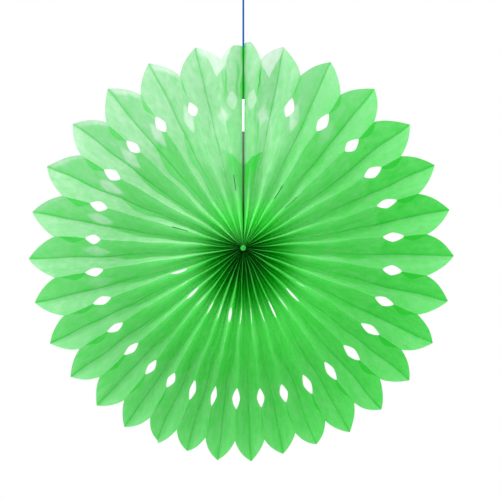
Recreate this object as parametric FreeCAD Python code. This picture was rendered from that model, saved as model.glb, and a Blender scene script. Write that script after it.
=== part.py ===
import FreeCAD
import Part
import math
import os

# A round paper fan rosette that hangs on a thread. One long sheet of tissue is pleated
# to and fro, punched and scalloped while folded, and gathered at its inner ends, so that
# the pleats open into a full circle. Millimetres. The viewer looks along +Y at the front,
# +Z is up, and the origin is the middle of the hub. Angles run clockwise from the top.

# Folded sheet
pleat_count = 31
leaf_width = 27.0
sheet_thickness = 0.2
fold_width = 0.4
hub_radius = 5.0
slit_gap = 2.0
leaf_stretches = 4

# Rim, cut to a pointed arch on each back fold
tip_radius = 150.0
notch_radius = 133.6
rim_margin = 6.0
tip_swell = 3.2
tip_swell_angle = 235.0
notch_swell = 3.8
notch_swell_angle = 215.0
petal_bulge = 2.1
petal_cuts = 3
end_tip_offset = 5.0
end_tip_drop = 2.4
end_edge_drop = 1.8

# Wear on the rim: petals numbered clockwise from the slit
blunt_petals = (13, 14, 17)
blunt_loss = 2.6
torn_petal = 18
tear_depth = 2.8

# Pleats crowd at the bottom and open at the top, and the back folds hang
droop_angle = 11.7
droop_second_angle = -1.4
back_fold_sag = 3.6

# Holes punched on the front folds: radius of the centre, length along the fold and depth
# into each leaf, with as many straight sides as a rounded hole needs at this size
outer_hole_radius = 107.4
outer_hole_length = 15.0
outer_hole_depth = 7.5
inner_hole_radius = 49.0
inner_hole_length = 15.0
inner_hole_depth = 4.6
hole_sides = 12

# Hub, where the gathered ends are pressed together and tied through the middle
core_overlap = 0.4
tie_diameter = 1.2
tie_clearance = 0.05
tie_knot_diameter = 4.0
tie_knot_height = 1.6

# Hanging thread, straight from the hub up the slit to just above the fan
thread_diameter = 1.4
thread_depth = 4.0
thread_length = 173.0

# Strip of tape folded round the thread, with both tails between the end leaves
tape_thickness = 0.2
tape_clearance = 0.05
tape_rim_gap = 44.0
tape_length = 23.0
tape_tail = 9.0

# Knot and loop at the thread's upper end; a knot's edges are bevelled by a share of its height
knot_bevel = 0.35
loop_knot_diameter = 3.6
loop_knot_height = 4.0
loop_radius = 6.0
loop_length = 20.0
loop_sides = 8

fold_total = 2 * pleat_count
outer_station = tip_radius + tip_swell + rim_margin
core_radius = hub_radius + core_overlap
core_length = leaf_width + sheet_thickness
thread_top = core_radius + thread_length
tape_height = tip_radius - tape_rim_gap - tape_length


def vector(x, y, z):
    return FreeCAD.Vector(x, y, z)


def polar(radius, degrees, depth=0.0):
    turn = math.radians(degrees)
    return vector(radius * math.sin(turn), depth, radius * math.cos(turn))


def tangent(degrees):
    turn = math.radians(degrees)
    return vector(math.cos(turn), 0, -math.sin(turn))


def rim_angle(fold):
    even = 360.0 * fold / fold_total
    turn = math.radians(even)
    return even + droop_angle * math.sin(turn) + droop_second_angle * math.sin(2 * turn)


def hub_angle(fold):
    slit_half_angle = math.degrees(math.asin((slit_gap + sheet_thickness) / 2 / hub_radius))
    return slit_half_angle + fold * (360.0 - 2 * slit_half_angle) / fold_total


def is_front(fold):
    return fold % 2 == 1


def is_free_edge(fold):
    return fold in (0, fold_total)


def depth_at_rim(fold):
    """Half of the fan's depth where this fold reaches the outer station."""
    before = rim_angle(max(fold - 1, 0))
    after = rim_angle(min(fold + 1, fold_total))
    folds_apart = min(fold + 1, fold_total) - max(fold - 1, 0)
    step = math.radians((after - before) / folds_apart)
    chord = 2 * outer_station * math.sin(step / 2)
    return math.sqrt(leaf_width ** 2 - chord ** 2) / 2


def fold_ends(fold):
    """Hub end and rim end of a fold's middle line, and the direction round the fan at each."""
    side = -1 if is_front(fold) else 1
    hub_depth = side * leaf_width / 2
    rim_depth = side * depth_at_rim(fold)
    if is_free_edge(fold):
        way = 1 if fold == 0 else -1
        across = way * (slit_gap + sheet_thickness) / 2
        lift = math.sqrt(hub_radius ** 2 - across ** 2)
        return (vector(across, hub_depth, lift), vector(1, 0, 0),
                vector(across, rim_depth, outer_station), vector(1, 0, 0))
    inner = hub_angle(fold)
    outer = rim_angle(fold)
    return (polar(hub_radius, inner, hub_depth), tangent(inner),
            polar(outer_station, outer, rim_depth), tangent(outer))


def fold_point(fold, share):
    """The fold's middle line at a share of its length, and the direction round the fan there."""
    inner, inner_way, outer, outer_way = fold_ends(fold)
    point = inner + (outer - inner) * share
    if not is_front(fold) and not is_free_edge(fold):
        point += vector(0, 0, -4 * back_fold_sag * share * (1 - share))
    return point, inner_way + (outer_way - inner_way) * share


def fold_corners(fold, share):
    """Where the sheet's two faces turn at a fold: outer left and right, inner left and right."""
    point, way = fold_point(fold, share)
    half = sheet_thickness / 2
    if is_free_edge(fold):
        left = point - way * half
        right = point + way * half
        return {"outer_left": left, "inner_left": right, "outer_right": right, "inner_right": left}
    outward = vector(0, -half if is_front(fold) else half, 0)
    wide = fold_width / 2 + half
    narrow = fold_width / 2 - half
    return {
        "outer_left": point - way * wide + outward,
        "outer_right": point + way * wide + outward,
        "inner_left": point - way * narrow - outward,
        "inner_right": point + way * narrow - outward,
    }


def facet(*corners):
    return Part.Face(Part.makePolygon(list(corners) + [corners[0]]))


def band(first, second):
    """Facets between two rows of points, bent along one diagonal of each stretch."""
    faces = []
    for step in range(len(first) - 1):
        faces.append(facet(first[step], first[step + 1], second[step + 1]))
        faces.append(facet(first[step], second[step + 1], second[step]))
    return faces


def pleated_sheet():
    """The whole pleated sheet as one thin solid, before its rim and its holes are cut."""
    shares = [step / leaf_stretches for step in range(leaf_stretches + 1)]
    rows = []
    for fold in range(fold_total + 1):
        stations = [fold_corners(fold, share) for share in shares]
        rows.append({name: [station[name] for station in stations] for name in stations[0]})
    faces = []
    for fold in range(1, fold_total):
        own = rows[fold]
        faces += band(own["outer_left"], own["outer_right"])
        faces += band(own["inner_left"], own["inner_right"])
        for end in (0, -1):
            faces += band((own["outer_left"][end], own["outer_right"][end]),
                          (own["inner_left"][end], own["inner_right"][end]))
    for fold in range(fold_total):
        near = rows[fold]
        far = rows[fold + 1]
        if is_front(fold):
            faces += band(near["outer_right"], far["inner_left"])
            faces += band(near["inner_right"], far["outer_left"])
        else:
            faces += band(far["inner_left"], near["outer_right"])
            faces += band(far["outer_left"], near["inner_right"])
        for end in (0, -1):
            faces += band((near["outer_right"][end], far["inner_left"][end]),
                          (near["inner_right"][end], far["outer_left"][end]))
    for fold in (0, fold_total):
        own = rows[fold]
        faces += band(own["outer_left"], own["inner_left"])
    sheet = Part.makeCompound(faces)
    sheet.sewShape()
    return Part.Solid(sheet.Shells[0])


def rim_point(radius, swell, swell_angle, degrees):
    """A point of the rim, which stands a little further out on one side of the fan."""
    reach = radius + swell * math.cos(math.radians(degrees - swell_angle))
    return polar(reach, degrees)


def notch_point(fold):
    return rim_point(notch_radius, notch_swell, notch_swell_angle, rim_angle(fold))


def tip_point(fold):
    loss = blunt_loss if fold // 2 in blunt_petals else 0
    return rim_point(tip_radius - loss, tip_swell, tip_swell_angle, rim_angle(fold))


def petal_side(start, end):
    """Points along one convex side of a petal, from just past its start to its end."""
    outward = (end - start).cross(vector(0, 1, 0)).normalize()
    if outward.dot(start + end) < 0:
        outward = outward * -1
    points = []
    for cut in range(1, petal_cuts + 1):
        share = cut / petal_cuts
        points.append(start + (end - start) * share + outward * (4 * petal_bulge * share * (1 - share)))
    return points


def rim_block():
    """A block with the fan's outline seen from the front, petal by petal round the rim."""
    height = rim_point(tip_radius, tip_swell, tip_swell_angle, 0).z - end_tip_drop
    left_height = height - end_edge_drop
    points = [vector(0, 0, left_height), vector(end_tip_offset, 0, height)]
    for fold in range(1, fold_total):
        if is_front(fold):
            points += petal_side(points[-1], notch_point(fold))
            continue
        points += petal_side(points[-1], tip_point(fold))
        if fold // 2 == torn_petal:
            points.append(points[-1] - polar(tear_depth, rim_angle(fold)))
    points += petal_side(points[-1], vector(-end_tip_offset, 0, left_height))
    outline = facet(*points)
    outline.translate(vector(0, -leaf_width, 0))
    return outline.extrude(vector(0, 2 * leaf_width, 0))


def punched_hole(fold, radius, length, depth):
    """A punch through both leaves beside a front fold, centred on the fold."""
    share = (radius - hub_radius) / (outer_station - hub_radius)
    centre, way = fold_point(fold, share)
    way.normalize()
    reaches = [abs((fold_point(fold + step, share)[0] - centre).dot(way)) for step in (-1, 1)]
    reach = min(reaches)
    inward = vector(0, depth, 0)
    along = way.cross(vector(0, 1, 0)) * (length / 2)
    points = []
    for side in range(hole_sides):
        turn = 2 * math.pi * (side + 0.5) / hole_sides
        points.append(centre - way * reach + along * math.cos(turn) + inward * math.sin(turn))
    return facet(*points).extrude(way * (2 * reach))


def pleated_fan():
    """The sheet with its rim and holes cut, joined to the core of its pressed inner ends."""
    fan = pleated_sheet().common(rim_block())
    holes = []
    for fold in range(1, fold_total, 2):
        holes.append(punched_hole(fold, outer_hole_radius, outer_hole_length, outer_hole_depth))
        holes.append(punched_hole(fold, inner_hole_radius, inner_hole_length, inner_hole_depth))
    fan = fan.cut(holes)
    core_back = vector(0, -core_length / 2, 0)
    core = Part.makeCylinder(core_radius, core_length, core_back, vector(0, 1, 0))
    bore = Part.makeCylinder(tie_diameter / 2 + tie_clearance, core_length, core_back, vector(0, 1, 0))
    return fan.fuse(core).cut(bore)


def knot(diameter, height, foot, way, bevel_foot):
    """A knot as a short drum with a bevelled top, and a bevelled foot if it is asked for."""
    drum = Part.makeCylinder(diameter / 2, height, foot, way)
    rims = []
    for edge in drum.Edges:
        lift = (edge.CenterOfMass - foot).dot(way)
        if edge.Closed and (lift > height / 2 or bevel_foot):
            rims.append(edge)
    return drum.makeChamfer(knot_bevel * height, rims)


def centre_tie():
    """A short thread through the hub with a low knot on each face."""
    front = vector(0, -core_length / 2, 0)
    back = vector(0, core_length / 2, 0)
    stem = Part.makeCylinder(tie_diameter / 2, core_length, front, vector(0, 1, 0))
    knots = [
        knot(tie_knot_diameter, tie_knot_height, front, vector(0, -1, 0), False),
        knot(tie_knot_diameter, tie_knot_height, back, vector(0, 1, 0), False),
    ]
    return stem.fuse(knots)


def hanging_thread():
    foot = vector(0, thread_depth, core_radius)
    return Part.makeCylinder(thread_diameter / 2, thread_length, foot, vector(0, 0, 1))


def hairpin(half_width, tail):
    """The flat section of a strip bent round the thread, open towards the back."""
    front = vector(0, thread_depth - half_width, 0)
    left = vector(-half_width, thread_depth, 0)
    right = vector(half_width, thread_depth, 0)
    left_back = vector(-half_width, thread_depth + tail, 0)
    right_back = vector(half_width, thread_depth + tail, 0)
    bend = Part.Arc(left, front, right).toShape()
    sides = [Part.LineSegment(right, right_back).toShape(), Part.LineSegment(right_back, left_back).toShape(),
             Part.LineSegment(left_back, left).toShape()]
    return Part.Face(Part.Wire([bend] + sides))


def closing_tape():
    """The folded strip that holds the thread and the two end leaves together."""
    inside = thread_diameter / 2 + tape_clearance
    strip = hairpin(inside + tape_thickness, tape_tail).cut(hairpin(inside, tape_tail))
    strip.translate(vector(0, 0, tape_height))
    return strip.extrude(vector(0, 0, tape_length))


def loop_section(centre, way):
    """The loop's section across a direction in its own plane, with a few straight sides."""
    flat_way = way.cross(vector(0, 1, 0))
    points = []
    for side in range(loop_sides):
        turn = 2 * math.pi * (side + 0.5) / loop_sides
        points.append(centre + (vector(0, math.cos(turn), 0) + flat_way * math.sin(turn)) * (thread_diameter / 2))
    return facet(*points)


def hanging_loop():
    """A drop-shaped loop of the same thread, and the knot that closes it."""
    base = vector(0, thread_depth, thread_top)
    closing_knot = knot(loop_knot_diameter, loop_knot_height, base, vector(0, 0, 1), True)
    start = base + vector(0, 0, loop_knot_height / 2)
    centre = base + vector(0, 0, loop_knot_height + loop_length - loop_radius)
    distance = (centre - start).Length
    lean = math.asin(loop_radius / distance)
    run = math.sqrt(distance ** 2 - loop_radius ** 2)
    left_way = vector(-math.sin(lean), 0, math.cos(lean))
    right_way = vector(math.sin(lean), 0, math.cos(lean))
    left_leg = loop_section(start, left_way).extrude(left_way * run)
    right_leg = loop_section(start, right_way).extrude(right_way * run)
    bow_sweep = 180 + 2 * math.degrees(lean)
    bow = loop_section(start + left_way * run, left_way).revolve(centre, vector(0, 1, 0), bow_sweep)
    return closing_knot.fuse([left_leg, right_leg, bow])


os.makedirs("parts", exist_ok=True)
pieces = {
    "pleated_fan": pleated_fan(),
    "centre_tie": centre_tie(),
    "hanging_thread": hanging_thread(),
    "closing_tape": closing_tape(),
    "hanging_loop": hanging_loop(),
}
for name, shape in pieces.items():
    print(name, shape.isValid(), len(shape.Solids), round(shape.Volume, 2), "mm3")
    shape.exportStep("parts/" + name + ".step")
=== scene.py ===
"""Paper fan rosette: one pleated tissue sheet that hangs open on a taut thread.

Lengths are metres. The viewer looks along +Y, +Z is up and the origin is the middle of the hub.
Angles round the fan run clockwise from the top. Folds are numbered clockwise from the slit: the
odd ones are front folds, the even ones are back folds, and the first and last are free edges.
"""
import logging
import math
from dataclasses import dataclass
from enum import Enum

import bmesh
import bpy
from mathutils import Matrix, Vector, noise


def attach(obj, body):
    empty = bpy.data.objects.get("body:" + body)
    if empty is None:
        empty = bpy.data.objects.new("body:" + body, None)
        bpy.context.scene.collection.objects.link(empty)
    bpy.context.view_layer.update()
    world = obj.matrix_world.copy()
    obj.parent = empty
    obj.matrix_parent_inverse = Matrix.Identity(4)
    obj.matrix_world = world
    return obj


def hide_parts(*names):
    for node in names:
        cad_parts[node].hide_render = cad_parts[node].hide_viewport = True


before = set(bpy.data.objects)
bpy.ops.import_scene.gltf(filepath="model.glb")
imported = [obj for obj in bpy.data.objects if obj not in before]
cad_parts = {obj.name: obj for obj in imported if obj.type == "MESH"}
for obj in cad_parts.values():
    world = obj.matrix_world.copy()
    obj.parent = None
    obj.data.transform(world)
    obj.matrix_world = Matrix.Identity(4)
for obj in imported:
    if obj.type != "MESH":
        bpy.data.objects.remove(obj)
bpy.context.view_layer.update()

log = logging.getLogger("rosette")
ROOT_BODY = "root"
Link = bpy.types.NodeSocket
Colour = tuple[float, float, float]
Step = tuple[float, float]


class Lay(Enum):
    """Which way a fold of the sheet points."""

    FRONT = -1
    BACK = 1


class Socket:
    """A number on a shader socket, so that shader maths reads as Python."""

    def __init__(self, shading: "Shading", link: Link) -> None:
        """Wrap one output socket of a tree."""
        self.shading = shading
        self.link = link

    def maths(self, operation: str, *values: "Socket | float") -> "Socket":
        """Add one Math node with an operation, such as ADD, and its inputs in order."""
        return self.shading.number("Math", {"operation": operation}, dict(enumerate(values)))

    def __add__(self, other: "Socket | float") -> "Socket":
        """Self plus other."""
        return self.maths("ADD", self, other)

    def __radd__(self, other: float) -> "Socket":
        """Other plus self."""
        return self.maths("ADD", other, self)

    def __sub__(self, other: "Socket | float") -> "Socket":
        """Self minus other."""
        return self.maths("SUBTRACT", self, other)

    def __rsub__(self, other: float) -> "Socket":
        """Other minus self."""
        return self.maths("SUBTRACT", other, self)

    def __mul__(self, other: "Socket | float") -> "Socket":
        """Self times other."""
        return self.maths("MULTIPLY", self, other)

    def __rmul__(self, other: float) -> "Socket":
        """Other times self."""
        return self.maths("MULTIPLY", other, self)

    def __truediv__(self, other: "Socket | float") -> "Socket":
        """Self divided by other."""
        return self.maths("DIVIDE", self, other)

    def __rtruediv__(self, other: float) -> "Socket":
        """Other divided by self."""
        return self.maths("DIVIDE", other, self)

    def ramp(self, low: float, high: float, way: str = "SMOOTHSTEP") -> "Socket":
        """Rise from 0 at low to 1 at high, smoothly or in another way, and stay within them."""
        inputs = {"Value": self, "From Min": low, "From Max": high}
        return self.shading.number("MapRange", {"interpolation_type": way}, inputs)

    def fade(self, low: float, high: float) -> "Socket":
        """Fall smoothly from 1 at low to 0 at high."""
        return 1.0 - self.ramp(low, high)

    def between(self, rise: Step, fall: Step) -> "Socket":
        """Rise smoothly over one step and fall over the next."""
        return self.ramp(*rise) * self.fade(*fall)

    def bell(self, centre: float, half: float) -> "Socket":
        """Be 1 at the centre and fall smoothly to 0 at half a width from it."""
        return (self - centre).size().fade(0.0, half)

    def size(self) -> "Socket":
        """How far it is from 0."""
        return self.maths("ABSOLUTE", self)

    def power(self, exponent: float) -> "Socket":
        """Self raised to a power."""
        return self.maths("POWER", self, exponent)

    def drawn_to(self, goal: float, share: "Socket") -> "Socket":
        """Move to a goal by a share of the way."""
        return self + share * (goal - self)

    def toward(self, degrees: float) -> "Socket":
        """The cosine of the angle between this one, in radians, and a direction in degrees."""
        return self.maths("COSINE", self - math.radians(degrees))


class Shading:
    """The node tree of one material or world."""

    def __init__(self, owner: bpy.types.Material | bpy.types.World) -> None:
        """Empty the tree of its owner."""
        self.owner = owner
        owner.use_nodes = True
        self.tree = owner.node_tree
        self.tree.nodes.clear()

    def node(self, kind: str, settings: dict | None = None, inputs: dict | None = None) -> bpy.types.Node:
        """Add a node, set it up and then feed it.

        Args:
            kind: The node's type name after ShaderNode.
            settings: Properties of the node, set first.
            inputs: Values or links by the socket's name or number.

        Returns:
            The node.
        """
        made = self.tree.nodes.new("ShaderNode" + kind)
        for key, value in (settings or {}).items():
            setattr(made, key, value)
        for key, value in (inputs or {}).items():
            if isinstance(value, Socket):
                value = value.link
            if isinstance(value, Link):
                self.tree.links.new(value, made.inputs[key])
            else:
                made.inputs[key].default_value = value
        return made

    def number(self, kind: str, settings: dict | None, inputs: dict, output: int | str = 0) -> Socket:
        """Add a node and wrap one of its outputs as a number."""
        return Socket(self, self.node(kind, settings, inputs).outputs[output])

    def place(self) -> Link:
        """Where a point of the piece lies, in metres."""
        return self.node("TexCoord").outputs["Object"]

    def clouds(self, where: Link, scale: float, detail: float = 3.0, rough: float = 0.5) -> Socket:
        """Soft noise round 0.5, with scale blotches to a metre and more or less strong finer layers."""
        inputs = {"Vector": where, "Scale": scale, "Detail": detail, "Roughness": rough}
        return self.number("TexNoise", None, inputs)

    def mix(self, share: Socket, first: Colour | Link, second: Colour | Link) -> Link:
        """Blend two colours, or their sockets, by the share of the second."""
        first, second = ((*end, 1.0) if isinstance(end, tuple) else end for end in (first, second))
        return self.node("Mix", {"data_type": "RGBA"}, {0: share, 6: first, 7: second}).outputs[2]

    def bump(self, height: Socket, strength: float, distance: float) -> Link:
        """Turn a height into a normal."""
        inputs = {"Height": height, "Strength": strength, "Distance": distance}
        return self.node("Bump", None, inputs).outputs["Normal"]

    def matte(self, colour: Link, roughness: float, specular: float, normal: Link) -> bpy.types.Node:
        """Add a surface with a colour, how dull it is, how much it reflects and its relief."""
        inputs = {"Base Color": colour, "Roughness": roughness, "Specular IOR Level": specular,
                  "Normal": normal}
        return self.node("BsdfPrincipled", None, inputs)

    def close(self, shader: bpy.types.Node) -> bpy.types.Material:
        """Send a shader to the material's output and return the material."""
        self.node("OutputMaterial", None, {"Surface": shader.outputs[0]})
        return self.owner


class LeafMap:
    """Where a point of the tissue lies on its leaf, read from the sheet's two maps.

    from_front runs from 0 at a leaf's front fold to 1 at its back fold, from_slit counts leaves from
    the slit, turn is the angle clockwise from the top, and upper is 1 on the leaves that are the
    upper side of their petal.
    """

    DROOP = 0.2
    FOLD_EDGE: Step = (0.99, 1.01)
    SIDE_EDGE = 0.4
    WARP_SCALE = 45.0

    def __init__(self, shading: Shading, leaves: int, span: float) -> None:
        """Read the maps.

        Args:
            shading: The tissue's material.
            leaves: How many leaves the map holds side by side.
            span: The radius at the map's upper edge.
        """
        flat = shading.node("UVMap", {"uv_map": PleatedFan.MAP}).outputs[0]
        edge = shading.node("UVMap", {"uv_map": PleatedFan.RIM_MAP}).outputs[0]
        self.flat = flat
        across = shading.number("SeparateXYZ", None, {0: flat}) * leaves
        self.radius = shading.number("SeparateXYZ", None, {0: flat}, 1) * span
        self.from_rim = shading.number("SeparateXYZ", None, {0: edge}, 1) * span
        self.from_front = across.maths("PINGPONG", across + 1.0, 1.0)
        second = across.maths("MODULO", across, 2.0).ramp(*self.FOLD_EDGE)
        pair = across.maths("FLOOR", across / 2.0)
        self.chance = shading.number("TexWhiteNoise", {"noise_dimensions": "1D"}, {"W": pair})
        left = across.ramp(leaves / 2 - self.SIDE_EDGE, leaves / 2 + self.SIDE_EDGE)
        self.upper = (1.0 - second) * left + second * (1.0 - left)
        even = across * (2 * math.pi / leaves)
        self.turn = even + even.maths("SINE", even) * self.DROOP
        self.warp = shading.clouds(shading.place(), self.WARP_SCALE, 2.0, 0.5) - 0.5
        self.from_slit = leaves / 2 - (across - leaves / 2).size()


@dataclass(frozen=True)
class Spot:
    """A soft spot on a leaf: its middle and half sizes, in leaves across and in metres along."""

    across: float
    half_across: float
    radius: float
    half_length: float

    def reach(self, across: Socket, radius: Socket) -> tuple[Socket, Socket]:
        """How far a point lies from the middle each way, in half sizes."""
        return (across - self.across) / self.half_across, (radius - self.radius) / self.half_length


@dataclass(frozen=True)
class CreaseShade:
    """Painted shade along a crease of a leaf, with where it starts and ends and how much it darkens."""

    across: float
    half_width: float
    start: Step
    end: Step
    drop: float

    def depth(self, across: Socket, radius: Socket) -> Socket:
        """What it takes off the tone."""
        line = across.bell(self.across, self.half_width)
        return line * radius.between(self.start, self.end) * self.drop


@dataclass(frozen=True)
class PleatLightAndShade:
    """The painted light and shade of the pleats, as a tone from about 0.4 (deep) to 1 (pale).

    The outer part of a leaf is painted as lit freely and its part in shade as lying deep in the pleat.
    Steps named turn are cosines of the angle to a side, and those named run are radii.
    """

    bright_side: float = 325.0
    dim_side: float = 55.0
    dim_turn: Step = (0.75, 1.0)
    dim_drop: float = 0.07
    outer_tone: float = 0.755
    outer_swing: float = 0.125
    upper_drop: float = 0.15
    close_run: Step = (0.030, 0.095)
    close_lift: float = 0.09
    inner_tone: float = 0.64
    inner_swing: float = 0.055
    top_turn: Step = (0.80, 0.98)
    top_lift: float = 0.22
    top_close_loss: float = 0.75
    strip_share: float = 0.28
    strip_side: float = 270.0
    strip_turn: Step = (-0.5, 0.5)
    strip_lean: float = 0.18
    strip_run: Step = (0.072, 0.1035)
    strip_full: float = 1.06
    strip_wave: float = 0.26
    strip_edge: Step = (-0.04, 0.04)
    bulge: Step = (0.061, 0.013)
    bulge_lift: float = 0.40
    bulge_lean_loss: float = 0.7
    upper_run: Step = (0.1000, 0.1040)
    upper_slant: float = 0.006
    lens: Step = (0.1210, 0.0125)
    lens_width: float = 0.32
    lens_turn: Step = (0.0, 0.6)
    lens_slim: float = 0.3
    lens_edge: Step = (0.0, 0.04)
    lens_shadow_drop: float = 0.15
    eye: Spot = Spot(0.66, 0.30, 0.1045, 0.0105)
    eye_turn: Step = (0.45, 0.95)
    eye_shift: tuple[float, float] = (0.24, 0.0045)
    eye_slant: float = 0.25
    eye_power: float = 1.4
    eye_edge: Step = (0.55, 1.2)
    eye_clear: Step = (1.95, 2.05)
    eye_lit: Step = (0.0, 0.7)
    eye_lift: float = 0.20
    eye_in_shade_lift: float = 0.06
    rim_band: Step = (0.0028, 0.007)
    rim_lit: Step = (0.5, 0.9)
    rim_lift: float = 0.14
    back_band: Step = (0.84, 1.0)
    back_fold_shade: float = 0.07

    def outer(self, leaf: LeafMap, bright: Socket, side: Socket, close: Socket) -> Socket:
        """Painted light of the freely lit part: brighter to one side, darker on upper leaves."""
        tone = bright * self.outer_swing + self.outer_tone - leaf.upper * side * self.upper_drop
        dim = leaf.turn.toward(self.dim_side).ramp(*self.dim_turn)
        return tone + close * side * self.close_lift - dim * self.dim_drop

    def inner(self, bright: Socket, up: Socket, close: Socket) -> Socket:
        """Painted shade of the part that lies deep in the pleat, lighter at the top."""
        top = up.ramp(*self.top_turn) * (1.0 - close * self.top_close_loss)
        return bright * self.inner_swing + self.inner_tone + top * self.top_lift

    def in_shade(self, leaf: LeafMap) -> Socket:
        """How much a point lies in the painted shade: all of it inside the strip beside the ridge."""
        lean = leaf.turn.toward(self.strip_side).ramp(*self.strip_turn)
        narrow = lean * self.strip_lean + self.strip_share
        strip = leaf.radius.ramp(*self.strip_run) * (self.strip_full - narrow) + narrow
        bulge = leaf.radius.bell(*self.bulge) * (1.0 - lean * self.bulge_lean_loss)
        strip = strip + bulge * self.bulge_lift
        low = (leaf.from_front - strip + leaf.warp * self.strip_wave).ramp(*self.strip_edge)
        high = (leaf.radius + leaf.from_front * self.upper_slant).fade(*self.upper_run)
        return leaf.upper * high + (1.0 - leaf.upper) * low

    def lens_shadow_share(self, leaf: LeafMap, side: Socket) -> Socket:
        """The painted shadow of a dark lens between the notch and the hole."""
        slim = side.ramp(*self.lens_turn) * (1.0 - self.lens_slim) + self.lens_slim
        width = leaf.radius.bell(*self.lens) * slim * self.lens_width
        return (width - leaf.from_front).ramp(*self.lens_edge) * leaf.upper

    def eye_share(self, leaf: LeafMap, up: Socket) -> Socket:
        """The pale eye where light falls through a hole onto the leaf behind."""
        top = up.ramp(*self.eye_turn)
        shifted = leaf.from_front + top * self.eye_shift[0], leaf.radius + top * self.eye_shift[1]
        aside, along = self.eye.reach(*shifted)
        aside = (aside + along * self.eye_slant).size().power(self.eye_power)
        along = along.size().power(self.eye_power)
        return (aside + along).fade(*self.eye_edge) * leaf.upper * leaf.from_slit.ramp(*self.eye_clear)

    def build(self, leaf: LeafMap) -> Socket:
        """Put the parts together.

        Args:
            leaf: Where the point lies on its leaf.

        Returns:
            The tone.
        """
        bright = leaf.turn.toward(self.bright_side)
        up = leaf.turn.toward(0.0)
        side = 1.0 - up * up
        close = leaf.radius.fade(*self.close_run)
        in_shade = self.in_shade(leaf)
        outer = self.outer(leaf, bright, side, close)
        tone = outer + (self.inner(bright, up, close) - outer) * in_shade
        tone = tone - self.lens_shadow_share(leaf, side) * self.lens_shadow_drop
        eye_lift = in_shade * self.eye_in_shade_lift + self.eye_lift
        tone = tone + self.eye_share(leaf, up) * bright.ramp(*self.eye_lit) * eye_lift
        # Painted light along the rim of the upper leaves, then painted shade along their back folds.
        rim = leaf.from_rim.fade(*self.rim_band) * leaf.upper
        tone = tone + rim * bright.ramp(*self.rim_lit) * self.rim_lift
        return tone - leaf.upper * leaf.from_front.ramp(*self.back_band) * self.back_fold_shade


@dataclass(frozen=True)
class SlitLightAndShade:
    """The painted light and shade beside the slit, and the tape behind the tissue.

    Places across count leaves from the slit, stretched a little on the left.
    """

    left_turn: Step = (3.0, 3.3)
    left_stretch: float = 0.18
    crumple: tuple[float, float] = (0.5, 0.009)
    flap_foot: float = 0.0570
    flap_slope: float = 0.0074
    flap_side: Step = (1.31, 1.39)
    flap_edge: Step = (0.0, 0.0008)
    flap_end: Step = (0.1110, 0.1150)
    flap_light_tone: float = 0.83
    shade_side: Step = (1.35, 2.25)
    shade_run: Step = (-0.032, -0.003)
    shade_tone: float = 0.46
    shade_share: float = 0.78
    shade_left_loss: float = 0.28
    window_fold: float = 1.52
    window_foot: float = 0.1220
    window_slopes: tuple[float, float] = (0.046, 0.023)
    window_edge: Step = (0.0, 0.0015)
    window_light_tone: float = 1.06
    covered_hole: Spot = Spot(1.46, 0.42, 0.0945, 0.0082)
    hole_edge: Step = (-0.25, 0.55)
    hole_light_tone: float = 1.04
    tape_patch: Spot = Spot(0.74, 0.36, 0.1056, 0.0070)
    patch_power: float = 1.5
    patch_edge: Step = (0.8, 1.1)
    patch_tone: float = 0.99
    fold: CreaseShade = CreaseShade(1.06, 0.10, (0.109, 0.115), (0.124, 0.131), 0.26)
    hem: CreaseShade = CreaseShade(1.33, 0.16, (0.066, 0.080), (0.088, 0.098), 0.14)
    left_crease: CreaseShade = CreaseShade(0.36, 0.14, (0.106, 0.113), (0.126, 0.136), 0.22)
    seam_side: Step = (0.05, 0.20)
    seam_run: Step = (0.045, 0.060)
    seam_shade_drop: float = 0.28

    def flaps(self, tone: Socket, slit: Socket, radius: Socket, left: Socket) -> Socket:
        """Paint light on the folded flaps and painted shade under them."""
        above_foot = radius - (slit * self.flap_slope + self.flap_foot)
        above = above_foot.ramp(*self.flap_edge)
        flap = slit.fade(*self.flap_side) * above * radius.fade(*self.flap_end)
        under = above_foot.ramp(*self.shade_run) * (1.0 - above) * slit.fade(*self.shade_side)
        under = under * (self.shade_share - left * self.shade_left_loss)
        return tone.drawn_to(self.flap_light_tone, flap) + under * (self.shade_tone - tone)

    def pale_spots(self, tone: Socket, slit: Socket, radius: Socket) -> Socket:
        """Add painted light to the near-white rim by the end leaves and covered holes, and the tape."""
        inward, outward = self.window_slopes
        from_fold = slit - self.window_fold
        edge = slit.maths("MAXIMUM", from_fold * inward, from_fold * -outward)
        window = (radius - self.window_foot - edge).ramp(*self.window_edge)
        tone = tone.drawn_to(self.window_light_tone, window)
        aside, along = self.covered_hole.reach(slit, radius)
        oval = (1.0 - aside.size() - along.size()).ramp(*self.hole_edge)
        tone = tone.drawn_to(self.hole_light_tone, oval)
        aside, along = self.tape_patch.reach(slit, radius)
        patch = aside.size().power(self.patch_power) + along.size().power(self.patch_power)
        return tone.drawn_to(self.patch_tone, patch.fade(*self.patch_edge))

    def build(self, leaf: LeafMap, tone: Socket) -> Socket:
        """Add the painted light and shade.

        Args:
            leaf: Where the point lies on its leaf.
            tone: The tone without them.

        Returns:
            The tone with them.
        """
        left = leaf.turn.ramp(*self.left_turn)
        slit = leaf.from_slit * (1.0 + left * self.left_stretch) + leaf.warp * self.crumple[0]
        radius = leaf.radius + leaf.warp * self.crumple[1]
        tone = self.pale_spots(self.flaps(tone, slit, radius, left), slit, radius)
        # Painted shade along the creases of the flaps and end leaves, and in the seam beside the slit.
        tone = tone - self.fold.depth(slit, radius)
        tone = tone - self.hem.depth(slit, radius) * slit.fade(*self.flap_side)
        tone = tone - self.left_crease.depth(slit, radius) * left
        return tone - slit.fade(*self.seam_side) * radius.ramp(*self.seam_run) * self.seam_shade_drop


@dataclass(frozen=True)
class PaintedHubLight:
    """Painted light: a brighter part of the hub, from one side and out to a radius."""

    side: float
    turn: Step
    run: Step
    strength: float

    def share(self, leaf: LeafMap) -> Socket:
        """How much of it there is at a point."""
        return leaf.turn.toward(self.side).ramp(*self.turn) * leaf.radius.fade(*self.run)


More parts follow.
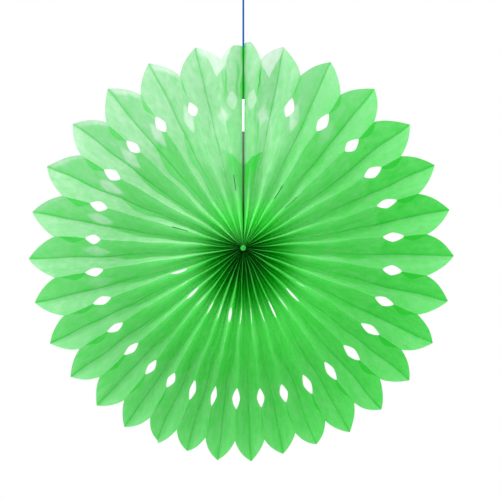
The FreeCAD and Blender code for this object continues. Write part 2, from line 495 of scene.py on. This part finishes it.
@dataclass(frozen=True)
class TissueFinish:
    """Thin green tissue that lets light through, with painted light and shade on it.

    The hub's part of the sheet has painted light, brighter than the rest, more so at the top and low
    down, and ends in painted dark shade in its valleys, lighter on the ridges.
    """

    # From the deepest painted shade to the palest painted light.
    deep: Colour = (0.044, 0.590, 0.056)
    middle: Colour = (0.130, 0.690, 0.150)
    light: Colour = (0.300, 0.700, 0.340)
    pale: Colour = (0.740, 0.850, 0.765)
    stops: tuple[float, float, float, float] = (0.40, 0.60, 0.80, 1.10)
    pleats: PleatLightAndShade = PleatLightAndShade()
    slit_light: SlitLightAndShade = SlitLightAndShade()
    glow: float = 0.20
    glow_tone: float = 0.07
    low: PaintedHubLight = PaintedHubLight(180.0, (-0.3, 0.9), (0.065, 0.110), 0.11)
    lit: PaintedHubLight = PaintedHubLight(2.0, (0.35, 0.92), (0.020, 0.046), 0.20)
    lit_hub_shade_loss: float = 0.8
    high_turn: Step = (0.70, 0.95)
    high_run: Step = (0.082, 0.036)
    high_glow: float = 0.09
    near_run: Step = (0.018, 0.047)
    near_shade_drop: float = 0.12
    hub_shade: Colour = (0.010, 0.64, 0.028)
    hub_shade_run: Step = (0.013, 0.040)
    hub_shade_side: float = 350.0
    hub_shade_lean: float = 0.016
    core_shade: Colour = (0.008, 0.46, 0.022)
    core_shade_run: Step = (0.0, 0.018)
    ridge: Step = (0.10, 0.30)
    ridge_light: float = 0.72
    crease: Colour = (0.03, 0.52, 0.05)
    crease_band: Step = (0.925, 1.0)
    crease_share: float = 0.4
    dash: Colour = (0.02, 0.09, 0.03)
    dash_place: Step = (0.0465, 0.0085)
    dash_ends: Step = (0.1, 0.4)
    dash_width: Step = (0.03, 0.07)
    dash_chance: Step = (0.59, 0.61)
    dash_side: float = 340.0
    dash_turn: Step = (0.20, 0.45)
    dash_share: float = 0.85
    cloud_scale: float = 140.0
    cloud_tone: float = 0.30
    fibre_scale: float = 900.0
    fibre_tone: float = 0.08
    wrinkle_stretch: tuple[float, float, float] = (300.0, 9.0, 0.0)
    wrinkle_tone: float = 0.15
    share_through: float = 0.5
    roughness: float = 0.85
    specular: float = 0.15
    bump_strength: float = 0.8
    bump_height: float = 0.0005

    def slit_dash(self, leaf: LeafMap) -> Socket:
        """A few dark dashes on upper folds, where a shut inner slit shows the pleat's shaded inside."""
        dash = leaf.from_front.fade(*self.dash_width)
        dash = dash * leaf.radius.bell(*self.dash_place).ramp(*self.dash_ends)
        dash = dash * leaf.chance.ramp(*self.dash_chance)
        return dash * leaf.turn.toward(self.dash_side).ramp(*self.dash_turn) * self.dash_share

    def tone_colour(self, shading: Shading, tone: Socket) -> Link:
        """Turn a tone of painted light and shade into the tissue's colour."""
        colour = self.deep
        shades = (self.middle, self.light, self.pale)
        for low, high, following in zip(self.stops, self.stops[1:], shades):
            colour = shading.mix(tone.ramp(low, high, "LINEAR"), colour, following)
        return colour

    def colour(self, shading: Shading, leaf: LeafMap, grain: Socket) -> Link:
        """The tissue's colour with the painted light and shade of the pleats, the slit and the hub.

        Args:
            shading: The material's tree.
            leaf: Where the point lies on its leaf.
            grain: What the paper's unevenness adds to the tone.

        Returns:
            The colour.
        """
        close = leaf.radius.fade(*self.pleats.close_run)
        lit = self.lit.share(leaf)
        high = leaf.turn.toward(0.0).ramp(*self.high_turn) * leaf.radius.bell(*self.high_run)
        tone = self.slit_light.build(leaf, self.pleats.build(leaf)) + grain
        # Painted light near the hub, and painted shade nearest to it.
        tone = tone + close * self.glow_tone - leaf.radius.fade(*self.near_run) * self.near_shade_drop
        # Darker along the back folds.
        line = leaf.from_front.ramp(*self.crease_band) * self.crease_share
        painted_colour = shading.mix(line, self.tone_colour(shading, tone), self.crease)
        # Painted light brightens the hub's part, more so low down and toward the top.
        glow = close * self.glow + self.low.share(leaf) * self.low.strength + lit * self.lit.strength
        glow = glow + high * self.high_glow
        scaled = {0: painted_colour, "Scale": glow + 1.0}
        painted_colour = shading.node("VectorMath", {"operation": "SCALE"}, scaled).outputs[0]
        # Painted dark shade in the hub's valleys, lighter on the front folds' ridges and at the lit top.
        from_hub = leaf.turn.toward(self.hub_shade_side) * self.hub_shade_lean + leaf.radius
        ridge = leaf.from_front.fade(*self.ridge)
        hub_shade = from_hub.fade(*self.hub_shade_run) * (1.0 - ridge * self.ridge_light)
        hub_shade = hub_shade * (1.0 - lit * self.lit_hub_shade_loss)
        dark = shading.mix(from_hub.fade(*self.core_shade_run), self.hub_shade, self.core_shade)
        return shading.mix(self.slit_dash(leaf), shading.mix(hub_shade, painted_colour, dark), self.dash)

    def build(self, leaves: int, span: float) -> bpy.types.Material:
        """Make the material.

        Args:
            leaves: How many leaves the sheet's map holds side by side.
            span: The radius at the map's upper edge.

        Returns:
            The material.
        """
        shading = Shading(bpy.data.materials.new("green_tissue"))
        leaf = LeafMap(shading, leaves, span)
        place = shading.place()
        clouds = shading.clouds(place, self.cloud_scale, 5.0, 0.6)
        fibres = shading.clouds(place, self.fibre_scale, 2.0)
        factors = {0: leaf.flat, 1: self.wrinkle_stretch}
        stretch = shading.node("VectorMath", {"operation": "MULTIPLY"}, factors)
        wrinkles = shading.clouds(stretch.outputs[0], 1.0, 4.0, 0.6)
        grain = (clouds - 0.5) * self.cloud_tone + (wrinkles - 0.5) * self.wrinkle_tone
        grain = grain + (fibres - 0.5) * self.fibre_tone
        colour = self.colour(shading, leaf, grain)
        normal = shading.bump(clouds * 0.6 + wrinkles * 0.4, self.bump_strength, self.bump_height)
        front = shading.matte(colour, self.roughness, self.specular, normal)
        back = shading.node("BsdfTranslucent", None, {"Color": colour, "Normal": normal})
        both = {0: self.share_through, 1: front.outputs[0], 2: back.outputs[0]}
        return shading.close(shading.node("MixShader", None, both))


@dataclass(frozen=True)
class FibreFinish:
    """A matte surface of two mingled shades with a fibrous relief."""

    name: str
    dark: Colour
    light: Colour
    scale: float
    relief: float = 0.0002
    detail: float = 3.0
    contrast: Step = (0.3, 0.7)
    roughness: float = 0.8
    specular: float = 0.25
    bump_strength: float = 0.8

    def over(self, shading: Shading, place: Link, colour: Link) -> Link:
        """Change the colour from place to place, where a finish does."""
        return colour

    def build(self) -> bpy.types.Material:
        """Make the material."""
        shading = Shading(bpy.data.materials.new(self.name))
        place = shading.place()
        fibres = shading.clouds(place, self.scale, self.detail, 0.6)
        colour = shading.mix(fibres.ramp(*self.contrast), self.dark, self.light)
        normal = shading.bump(fibres, self.bump_strength, self.relief)
        colour = self.over(shading, place, colour)
        return shading.close(shading.matte(colour, self.roughness, self.specular, normal))


@dataclass(frozen=True)
class TautThreadFinish(FibreFinish):
    """The blue thread with painted shade, dark and greenish, in the slit between the end leaves."""

    name: str = "blue_thread"
    dark: Colour = (0.0004, 0.050, 0.21)
    light: Colour = (0.001, 0.095, 0.35)
    scale: float = 2600.0
    roughness: float = 0.85
    specular: float = 0.05
    bump_strength: float = 0.5
    slit_shade_green: Colour = (0.004, 0.20, 0.008)
    slit_shade_grey: Colour = (0.10, 0.13, 0.12)
    hub_shade_green: Colour = (0.004, 0.09, 0.008)
    hub_run: Step = (0.02, 0.085)
    tape_run: Step = (0.1000, 0.1080)
    rim_run: Step = (0.1426, 0.1438)

    def over(self, shading: Shading, place: Link, colour: Link) -> Link:
        """Paint shade on the thread below the rim, by its height above the hub."""
        height = shading.number("SeparateXYZ", None, {0: place}, 2)
        low = shading.mix(height.ramp(*self.hub_run), self.hub_shade_green, self.slit_shade_grey)
        slit = shading.mix(height.ramp(*self.tape_run), low, self.slit_shade_green)
        return shading.mix(height.ramp(*self.rim_run), slit, colour)


GREEN_THREAD = FibreFinish("green_thread", (0.006, 0.20, 0.012), (0.04, 0.50, 0.06), 1100.0, 0.0012)
WHITE_TAPE = FibreFinish("white_tape", (0.78, 0.80, 0.79), (0.93, 0.94, 0.93), 700.0, detail=4.0,
                         contrast=(0.3, 0.6), roughness=0.75, specular=0.3, bump_strength=0.3)


def new_object(name: str, shape: bmesh.types.BMesh) -> bpy.types.Object:
    """Put a finished shape in the scene as an object at the origin, and free the shape."""
    mesh = bpy.data.meshes.new(name)
    shape.to_mesh(mesh)
    shape.free()
    made = bpy.data.objects.new(name, mesh)
    bpy.context.scene.collection.objects.link(made)
    return made


def new_piece(name: str, shape: bmesh.types.BMesh) -> bpy.types.Object:
    """Put a finished shape in the scene as a piece of the root body."""
    piece = new_object(name, shape)
    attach(piece, ROOT_BODY)
    return piece


def redress(name: str, material: bpy.types.Material) -> None:
    """Give one of the CAD's own pieces a new material."""
    materials = bpy.data.objects[name].data.materials
    materials.clear()
    materials.append(material)


def report(piece: bpy.types.Object) -> None:
    """Log a piece's name and face count."""
    log.info("%s: %d faces", piece.name, len(piece.data.polygons))


@dataclass(frozen=True)
class Hole:
    """A hole punched through the front folds."""

    radius: float
    length: float
    depth: float
    top_share: float
    point: float


@dataclass
class PleatedFan:
    """The tissue sheet, cut flat, pleated and opened into a ring."""

    MAP = "sheet_map"
    RIM_MAP = "rim_map"
    NOISE_GAIN = 2.0
    SAME_FOLD = 1e-4
    ROUNDING = 1e-6

    pleats: int = 31
    leaf_width: float = 0.027
    hub_radius: float = 0.0012
    edge_overlap: float = 0.0010
    edge_step: float = 0.0012
    tip_radius: float = 0.1511
    notch_radius: float = 0.1324
    rim_margin: float = 0.006
    tip_swell: float = 0.0031
    tip_swell_angle: float = 210.0
    tip_side_swell: float = 0.0011
    notch_swell: float = 0.0042
    notch_swell_angle: float = 205.0
    petal_bulge: float = 0.0014
    end_edge_height: float = 0.1432
    right_end_height: float = 0.1470
    left_end_height: float = 0.1448
    end_notch_rise: float = 0.0050
    end_crown: tuple[float, float] = (0.13, 0.42)
    blunt_petals: tuple[int, ...] = (13, 14, 17)
    blunt_loss: float = 0.0026
    torn_petal: int = 18
    tear_depth: float = 0.0028
    droop_angle: float = 11.6
    droop_second_angle: float = -1.3
    lean_angle: float = 1.25
    lean_second_angle: float = -0.7
    pull: tuple[float, float, float] = (1.9, 14.0, 20.0)
    back_fold_sag: float = 0.0014
    outer_hole: Hole = Hole(0.1064, 0.0136, 0.0080, 1.0, 1.35)
    inner_hole: Hole = Hole(0.0480, 0.0118, 0.0048, 0.08, 1.7)
    covered_folds: tuple[int, ...] = (1, 61)
    open_slits: tuple[int, ...] = (21, 25, 33, 37, 41, 45)
    closed_slit: float = 0.28
    hole_variety: float = 0.24
    hole_rates: tuple[float, float] = (1.7, 90.0)
    hole_opening: float = 3.0
    top_hole_loss: float = 0.16
    hole_side_growth: float = 0.09
    top_hole_drop: float = 0.0024
    snap_reach: Step = (0.3, 1.9)
    columns: int = 12
    rows: int = 108
    column_crowding: float = 1.4
    fold_wander: float = 0.0007
    wander_rates: tuple[float, float] = (7.3, 42.0)
    wander_ease: float = 0.03
    leaf_ripple: float = 0.0006
    ripple_rates: tuple[float, float, float] = (5.7, 0.8, 26.0)
    ripple_ease: float = 0.02
    area_steps: int = 24
    hole_area: float = 2.4
    seed: int = 31

    @property
    def leaves(self) -> int:
        """How many leaves the sheet has between its two free edges."""
        return 2 * self.pleats

    @property
    def outer_station(self) -> float:
        """A radius beyond every tip, where the fold lines end."""
        return self.tip_radius + self.tip_swell + self.rim_margin

    def lay(self, fold: int) -> Lay:
        """Whether a fold is at the front or at the back."""
        return Lay.FRONT if fold % 2 else Lay.BACK

    def is_free(self, fold: int) -> bool:
        """Whether a fold is really one of the sheet's free edges."""
        return fold in (0, self.leaves)

    def rim_angle(self, fold: float) -> float:
        """The angle of a fold at the rim, in degrees: pleats crowd low down and open at the top."""
        even = 360.0 * fold / self.leaves
        turn = math.radians(even)
        droop = self.droop_angle * math.sin(turn) + self.droop_second_angle * math.sin(2 * turn)
        lean = self.lean_angle * (1 - math.cos(turn))
        lean += self.lean_second_angle * (1 - math.cos(2 * turn))
        angle, centre, reach = self.pull
        return even + droop + lean - angle * math.exp(-(((even - centre) / reach) ** 2))

    def polar(self, radius: float, degrees: float, depth: float) -> Vector:
        """A point at a radius, an angle clockwise from the top and a depth."""
        turn = math.radians(degrees)
        return Vector((radius * math.sin(turn), depth, radius * math.cos(turn)))

    def rim_half_depth(self, fold: int) -> float:
        """Half of the fan's depth at a fold's outer end.

        Args:
            fold: The fold's number.

        Returns:
            The half depth that keeps the leaves beside the fold at their width.
        """
        low = max(fold - 1, 0)
        high = min(fold + 1, self.leaves)
        step = math.radians((self.rim_angle(high) - self.rim_angle(low)) / (high - low))
        chord = 2 * self.outer_station * math.sin(step / 2)
        return math.sqrt(self.leaf_width ** 2 - chord ** 2) / 2

    def fold_ends(self) -> list[tuple[Vector, Vector]]:
        """Hub end and rim end of every fold line."""
        ends = []
        for fold in range(self.leaves + 1):
            side = self.lay(fold).value
            rim_depth = side * self.rim_half_depth(fold)
            hub_depth = side * self.leaf_width / 2
            inner = self.polar(self.hub_radius, 360.0 * fold / self.leaves, hub_depth)
            outer = self.polar(self.outer_station, self.rim_angle(fold), rim_depth)
            if self.is_free(fold):
                across = (-1 if fold == 0 else 1) * self.edge_overlap / 2
                inner.x = across
                outer.x = across
                outer.y -= self.edge_step if fold == 0 else 0.0
            ends.append((inner, outer))
        return ends

    def rim_radius(self, leaf: int, share: float) -> float:
        """The sheet's length from the hub's middle to the cut rim.

        Args:
            leaf: The leaf's number.
            share: How far across the leaf the point is, from its first fold.

        Returns:
            The radius of the rim there.
        """
        front, back = (leaf, leaf + 1) if self.lay(leaf) is Lay.FRONT else (leaf + 1, leaf)
        from_front = share if front == leaf else 1.0 - share
        notch_turn = math.radians(self.rim_angle(front) - self.notch_swell_angle)
        tip_turn = math.radians(self.rim_angle(back) - self.tip_swell_angle)
        notch = self.notch_radius + self.notch_swell * math.cos(notch_turn)
        tip = self.tip_radius + self.tip_swell * math.cos(tip_turn)
        tip -= self.tip_side_swell * math.cos(2 * math.radians(self.rim_angle(back)))
        if front in self.covered_folds:
            notch += self.end_notch_rise
        if self.is_free(back):
            return self.end_rim(back, 1.0 - from_front, notch)
        if back // 2 in self.blunt_petals:
            tip -= self.blunt_loss
        if back // 2 == self.torn_petal and leaf == back:
            tip -= self.tear_depth
        return self.arch(notch, tip, from_front)

    def arch(self, notch: float, tip: float, share: float) -> float:
        """The radius along one convex side of a petal.

        Args:
            notch: The radius at the front fold.
            tip: The radius at the back fold.
            share: How far across the leaf from the front fold.

        Returns:
            The radius there.
        """
        run = 2 * math.pi * self.tip_radius / self.leaves
        rise = tip - notch
        length = math.hypot(run, rise)
        back_shift = 4 * self.petal_bulge * rise / length / run
        out_shift = 4 * self.petal_bulge * run / length
        slope = 1.0 - back_shift
        along = (math.sqrt(slope ** 2 + 4 * back_shift * share) - slope) / (2 * back_shift)
        return notch + rise * along + out_shift * along * (1.0 - along)

    def end_rim(self, edge: int, from_edge: float, notch: float) -> float:
        """The rim of one of the two end leaves, which has its crown a little way off the free edge.

        Args:
            edge: The number of the free edge.
            from_edge: How far across the leaf from the free edge.
            notch: The radius at the front fold.

        Returns:
            The radius there.
        """
        crown = self.right_end_height if edge == 0 else self.left_end_height
        start, stop = self.end_crown
        if from_edge < start:
            lift = min(1.0, from_edge / start)
            return self.end_edge_height + (crown - self.end_edge_height) * lift
        if from_edge < stop:
            return crown
        return self.arch(notch, crown, (1.0 - from_edge) / (1.0 - stop))

    def flat_sheet(self) -> bmesh.types.BMesh:
        """The sheet before folding: x counts its leaves and y is the distance from the hub."""
        sheet = bmesh.new()
        columns = self.leaves * self.columns
        bmesh.ops.create_grid(sheet, x_segments=columns, y_segments=self.rows, size=0.5)
        for vert in sheet.verts:
            step = round((vert.co.x + 0.5) * columns)
            leaf = min(step // self.columns, self.leaves - 1)
            part = step / self.columns - leaf
            if self.lay(leaf) is Lay.FRONT:
                share = part ** self.column_crowding
            else:
                share = 1.0 - (1.0 - part) ** self.column_crowding
            along = vert.co.y + 0.5
            rim = self.rim_radius(leaf, share)
            vert.co = Vector((leaf + share, self.hub_radius + (rim - self.hub_radius) * along, 0.0))
        return sheet

    def hole_radius(self, hole: Hole, fold: int) -> float:
        """The radius of a hole's middle: the outer ones lie a little further in near the slit."""
        if hole is self.inner_hole:
            return hole.radius
        return hole.radius - self.top_hole_drop * self.near_top(fold) ** 3

    def near_top(self, fold: int) -> float:
        """How near a fold is to the top: 1 at the slit and 0 from the fan's sides down."""
        return max(0.0, math.cos(math.radians(self.rim_angle(fold))))

    def punch(self, sheet: bmesh.types.BMesh, hole: Hole) -> None:
        """Punch a hole through the sheet on every front fold.

        Args:
            sheet: The flat sheet.
            hole: The hole.
        """

        def reach(point: Vector) -> float:
            """How far a point is from the nearest hole's middle, where 1 is the hole's edge."""
            fold = 2 * math.floor(point.x / 2) + 1
            if fold in self.covered_folds and hole is self.outer_hole:
                return math.inf
            turn = math.radians(self.rim_angle(fold))
            place = (fold * self.hole_rates[0], hole.radius * self.hole_rates[1], 0.5)
            size = 1.0 + self.hole_variety * noise.noise(Vector(place))
            opening = min(1.0, (1.0 + math.cos(turn)) / 2 * self.hole_opening)
            depth = hole.depth * (1.0 + (hole.top_share - 1.0) * opening)
            if hole is self.inner_hole:
                depth = hole.depth if fold in self.open_slits else depth * self.closed_slit
            size *= 1.0 - self.top_hole_loss * self.near_top(fold) ** 4
            size *= 1.0 + self.hole_side_growth * math.sin(turn)
            aside = abs(point.x - fold) * self.leaf_width / depth
            along = abs(point.y - self.hole_radius(hole, fold)) / (hole.length / 2 * size)
            return (aside ** hole.point + along ** hole.point) ** (1.0 / hole.point)

        gone = [face for face in sheet.faces if reach(face.calc_center_median()) < 1.0]
        bmesh.ops.delete(sheet, geom=gone, context="FACES")
        for vert in sheet.verts:
            if not vert.is_boundary or abs(vert.co.y - hole.radius) > hole.length:
                continue
            fold = 2 * math.floor(vert.co.x / 2) + 1
            distance = reach(vert.co)
            if self.snap_reach[0] < distance < self.snap_reach[1]:
                vert.co.x = fold + (vert.co.x - fold) / distance
                middle = self.hole_radius(hole, fold)
                vert.co.y = middle + (vert.co.y - middle) / distance

    def wander(self, fold: int, radius: float) -> float:
        """How far a fold strays round the fan at a radius, because tissue is soft."""
        across, along = self.wander_rates
        where = Vector((fold * across + self.seed, radius * along, 3.1))
        ease = min(1.0, radius / self.wander_ease)
        return self.fold_wander * ease * self.NOISE_GAIN * noise.noise(where)

    def folded(self, leaf: int, share: float, radius: float,
               ends: list[tuple[Vector, Vector]]) -> Vector:
        """Where a point of the flat sheet lies when the fan is open.

        Args:
            leaf: The leaf that the point is on.
            share: How far across the leaf it is.
            radius: Its distance along the leaf from the hub's middle.
            ends: The fold lines' ends.

        Returns:
            The point in space.
        """
        along = (radius - self.hub_radius) / (self.outer_station - self.hub_radius)
        sides = []
        for fold in (leaf, leaf + 1):
            inner, outer = ends[fold]
            point = inner.lerp(outer, along)
            turn = math.atan2(point.x, point.z)
            if not self.is_free(fold):
                if self.lay(fold) is Lay.BACK:
                    point.z -= 4 * self.back_fold_sag * along * (1.0 - along)
                stray = self.wander(fold, radius)
                point += Vector((math.cos(turn), 0.0, -math.sin(turn))) * stray
            sides.append(point)
        point = sides[0].lerp(sides[1], share)
        across = (sides[1] - sides[0]).normalized()
        outward = Vector((point.x, 0.0, point.z)).normalized()
        normal = across.cross(outward)
        leaf_rate, share_rate, radius_rate = self.ripple_rates
        place = (leaf * leaf_rate + share * share_rate, radius * radius_rate, self.seed * 0.37)
        belly = math.sin(math.pi * share) * min(1.0, radius / self.ripple_ease)
        ripple = self.leaf_ripple * self.NOISE_GAIN * noise.noise(Vector(place))
        return point + normal * (ripple * belly)

    def fold(self, sheet: bmesh.types.BMesh) -> None:
        """Fold the flat sheet into the open fan, and keep its flat place as its map.

        Args:
            sheet: The flat sheet.
        """
        layer = sheet.loops.layers.uv.new(self.MAP)
        rim_layer = sheet.loops.layers.uv.new(self.RIM_MAP)
        for face in sheet.faces:
            face.smooth = True
            for loop in face.loops:
                flat = loop.vert.co
                leaf = min(int(flat.x + self.ROUNDING), self.leaves - 1)
                inside = self.rim_radius(leaf, flat.x - leaf) - flat.y
                loop[layer].uv = (flat.x / self.leaves, flat.y / self.outer_station)
                loop[rim_layer].uv = (0.0, max(0.0, inside) / self.outer_station)
        for edge in sheet.edges:
            first, second = (vert.co.x for vert in edge.verts)
            along_fold = max(abs(first - second), abs(first - round(first))) <= self.SAME_FOLD
            edge.smooth = not along_fold
        ends = self.fold_ends()
        for vert in sheet.verts:
            flat = vert.co.copy()
            leaf = min(int(flat.x + self.ROUNDING), self.leaves - 1)
            vert.co = self.folded(leaf, flat.x - leaf, flat.y, ends)

    def flat_area(self) -> float:
        """The area of the cut sheet; hole_area is that of a hole whose half sizes are both 1."""
        steps = self.area_steps
        total = 0.0
        for leaf in range(self.leaves):
            for step in range(steps):
                rim = self.rim_radius(leaf, (step + 0.5) / steps)
                total += (rim - self.hub_radius) * self.leaf_width / steps
        for hole in (self.outer_hole, self.inner_hole):
            mean_depth = hole.depth * (1 + hole.top_share) / 2
            total -= self.pleats * self.hole_area * hole.length / 2 * mean_depth
        return total

    def build(self) -> bpy.types.Object:
        """Cut, punch, fold and dress the sheet.

        Returns:
            The finished piece.
        """
        sheet = self.flat_sheet()
        self.punch(sheet, self.outer_hole)
        self.punch(sheet, self.inner_hole)
        self.fold(sheet)
        piece = new_piece("tissue_fan", sheet)
        piece.data.materials.append(TissueFinish().build(self.leaves, self.outer_station))
        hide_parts("pleated_fan")
        self.flat_area()
        report(piece)
        return piece


@dataclass
class Yarn:
    """A thread of a few strands twisted round a smooth route."""

    diameter: float = 0.0014
    strands: int = 3
    twist: float = 0.0042
    strand_share: float = 0.72
    sides: int = 8
    stations_per_turn: int = 10
    resolution: int = 24

    def smooth_route(self, route: list[Vector], name: str) -> list[Vector]:
        """The line of a smooth curve whose control points are the route's points.

        Args:
            route: The control points.
            name: A name for the curve while it is read.

        Returns:
            Points along the curve.
        """
        curve = bpy.data.curves.new(name, "CURVE")
        curve.dimensions = "3D"
        spline = curve.splines.new("NURBS")
        spline.points.add(len(route) - 1)
        for point, place in zip(spline.points, route):
            point.co = (*place, 1.0)
        spline.order_u = 3
        spline.use_endpoint_u = True
        spline.resolution_u = self.resolution
        guide = bpy.data.objects.new(name, curve)
        bpy.context.scene.collection.objects.link(guide)
        line = bpy.data.meshes.new_from_object(guide)
        points = [vert.co.copy() for vert in line.vertices]
        bpy.data.objects.remove(guide)
        bpy.data.curves.remove(curve)
        bpy.data.meshes.remove(line)
        return points

    def spaced(self, points: list[Vector]) -> list[Vector]:
        """The same line at even steps short enough for the twist."""
        step = self.twist / self.stations_per_turn
        total = sum((b - a).length for a, b in zip(points, points[1:]))
        count = max(2, round(total / step))
        evenly = [points[0].copy()]
        walked = 0.0
        goal = total / count
        for start, end in zip(points, points[1:]):
            run = (end - start).length
            while run > 0 and walked + run >= goal * len(evenly) and len(evenly) < count:
                evenly.append(start.lerp(end, (goal * len(evenly) - walked) / run))
            walked += run
        evenly.append(points[-1].copy())
        return evenly

    def spin(self, mesh: bmesh.types.BMesh, line: list[Vector], across: Vector) -> None:
        """Twist the strands round a line.

        Args:
            mesh: The mesh that the strands are added to.
            line: Even points along the thread.
            across: A direction that never runs along the thread.
        """
        strand = self.diameter / 2 * self.strand_share
        offset = self.diameter / 2 - strand
        travelled = 0.0
        rings: list[list] = [[] for _ in range(self.strands)]
        for index, point in enumerate(line):
            before = line[max(index - 1, 0)]
            after = line[min(index + 1, len(line) - 1)]
            way = (after - before).normalized()
            side = across.cross(way).normalized()
            other = way.cross(side)
            travelled += (point - before).length
            for number in range(self.strands):
                turn = 2 * math.pi * (travelled / self.twist + number / self.strands)
                centre = point + (side * math.cos(turn) + other * math.sin(turn)) * offset
                place = Matrix((side, other, way)).transposed().to_4x4()
                place.translation = centre
                ring = bmesh.ops.create_circle(mesh, segments=self.sides, radius=strand, matrix=place)
                rings[number].append(ring["verts"])
        for strand_rings in rings:
            for first, second in zip(strand_rings, strand_rings[1:]):
                for corner in range(self.sides):
                    following = (corner + 1) % self.sides
                    near, far = (first[corner], first[following]), (second[following], second[corner])
                    mesh.faces.new(near + far)
            mesh.faces.new(reversed(strand_rings[0]))
            mesh.faces.new(strand_rings[-1])


@dataclass
class HangingThread:
    """The taut blue thread from the hub to its knot; the loop above it is a CAD piece."""

    depth: float = 0.004
    foot: float = 0.0054
    length: float = 0.173
    diameter: float = 0.0014

    def route(self) -> list[Vector]:
        """The control points of the thread, straight up the slit."""
        heights = (0.0, 0.25, 0.5, 0.75, 1.0)
        return [Vector((0.0, self.depth, self.foot + self.length * share)) for share in heights]

    def build(self) -> bpy.types.Object:
        """Twist and dress the thread.

        Returns:
            The finished piece.
        """
        yarn = Yarn(diameter=self.diameter)
        line = yarn.spaced(yarn.smooth_route(self.route(), "thread_route"))
        strands = bmesh.new()
        yarn.spin(strands, line, Vector((0.0, 1.0, 0.0)))
        for face in strands.faces:
            face.smooth = True
        bmesh.ops.recalc_face_normals(strands, faces=strands.faces)
        piece = new_piece("blue_thread", strands)
        piece.data.materials.append(TautThreadFinish().build())
        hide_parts("hanging_thread")
        report(piece)
        return piece


@dataclass(frozen=True)
class Lamp:
    """A square soft lamp that points at the hub, with its side and its power in watts."""

    name: str
    place: tuple[float, float, float]
    side: float
    power: float

    def build(self) -> None:
        """Hang the lamp."""
        data = bpy.data.lights.new(self.name, "AREA")
        data.size = self.side
        data.energy = self.power
        lamp = bpy.data.objects.new(self.name, data)
        lamp.location = self.place
        lamp.rotation_euler = (-Vector(self.place)).to_track_quat("-Z", "Y").to_euler()
        bpy.context.scene.collection.objects.link(lamp)


@dataclass
class Studio:
    """Floor, lamps, plain white surround and the camera."""

    pixel: float = 0.000711
    frame_pixels: int = 500
    hub_pixel: tuple[float, float] = (243.3, 248.0)
    camera_distance: float = 1.6
    sensor: float = 36.0
    floor_height: float = -0.36
    floor_radius: float = 1.3
    floor_sides: int = 64
    floor_colour: tuple[float, float, float, float] = (0.8, 0.8, 0.8, 1.0)
    floor_roughness: float = 0.9
    white: tuple[float, float, float, float] = (1.0, 1.0, 1.0, 1.0)
    fill: float = 1.00
    clip: Step = (0.05, 50.0)
    lamps: tuple[Lamp, ...] = (Lamp("key_lamp", (-0.35, -0.95, 0.75), 0.5, 8.0),
                               Lamp("front_fill", (0.0, -1.5, 0.35), 0.6, 7.0))

    def camera(self) -> None:
        """Look straight at the fan from the front, framed as in the photograph."""
        data = bpy.data.cameras.new("front_camera")
        width = self.pixel * self.frame_pixels
        data.sensor_width = self.sensor
        data.lens = self.sensor * self.camera_distance / width
        data.clip_start, data.clip_end = self.clip
        camera = bpy.data.objects.new("front_camera", data)
        bpy.context.scene.collection.objects.link(camera)
        middle = self.frame_pixels / 2
        across = (middle - self.hub_pixel[0]) * self.pixel
        up = (self.hub_pixel[1] - middle) * self.pixel
        camera.location = (across, -self.camera_distance, up)
        camera.rotation_euler = (math.pi / 2, 0.0, 0.0)
        bpy.context.scene.camera = camera

    def floor(self) -> None:
        """Lay a plain pale floor well below the fan."""
        disc = bmesh.new()
        place = Matrix.Translation((0.0, 0.0, self.floor_height))
        bmesh.ops.create_circle(disc, cap_ends=True, segments=self.floor_sides,
                                radius=self.floor_radius, matrix=place)
        floor = new_object("floor", disc)
        shading = Shading(bpy.data.materials.new("pale_floor"))
        inputs = {"Base Color": self.floor_colour, "Roughness": self.floor_roughness}
        plain = shading.node("BsdfPrincipled", None, inputs)
        floor.data.materials.append(shading.close(plain))

    def world(self) -> None:
        """Surround everything with soft light that the camera sees as plain white."""
        world = bpy.data.worlds.new("white_room")
        bpy.context.scene.world = world
        shading = Shading(world)
        seen = shading.node("LightPath").outputs["Is Camera Ray"]
        light = {"Color": self.white, "Strength": self.fill}
        soft = shading.node("Background", None, light).outputs[0]
        plain = shading.node("Background", None, {"Color": self.white}).outputs[0]
        choice = shading.node("MixShader", None, {0: seen, 1: soft, 2: plain})
        shading.node("OutputWorld", None, {"Surface": choice.outputs[0]})

    def build(self) -> None:
        """Set up everything round the fan."""
        bpy.context.scene.view_settings.view_transform = "Standard"
        self.camera()
        self.floor()
        self.world()
        for lamp in self.lamps:
            lamp.build()


def main() -> None:
    """Build every piece in order, dress the CAD's pieces and set up the studio."""
    logging.basicConfig(level=logging.INFO, format="%(name)s %(message)s")
    PleatedFan().build()
    HangingThread().build()
    redress("closing_tape", WHITE_TAPE.build())
    redress("centre_tie", GREEN_THREAD.build())
    redress("hanging_loop", bpy.data.materials["blue_thread"])
    Studio().build()


if __name__ == "__main__":
    main()
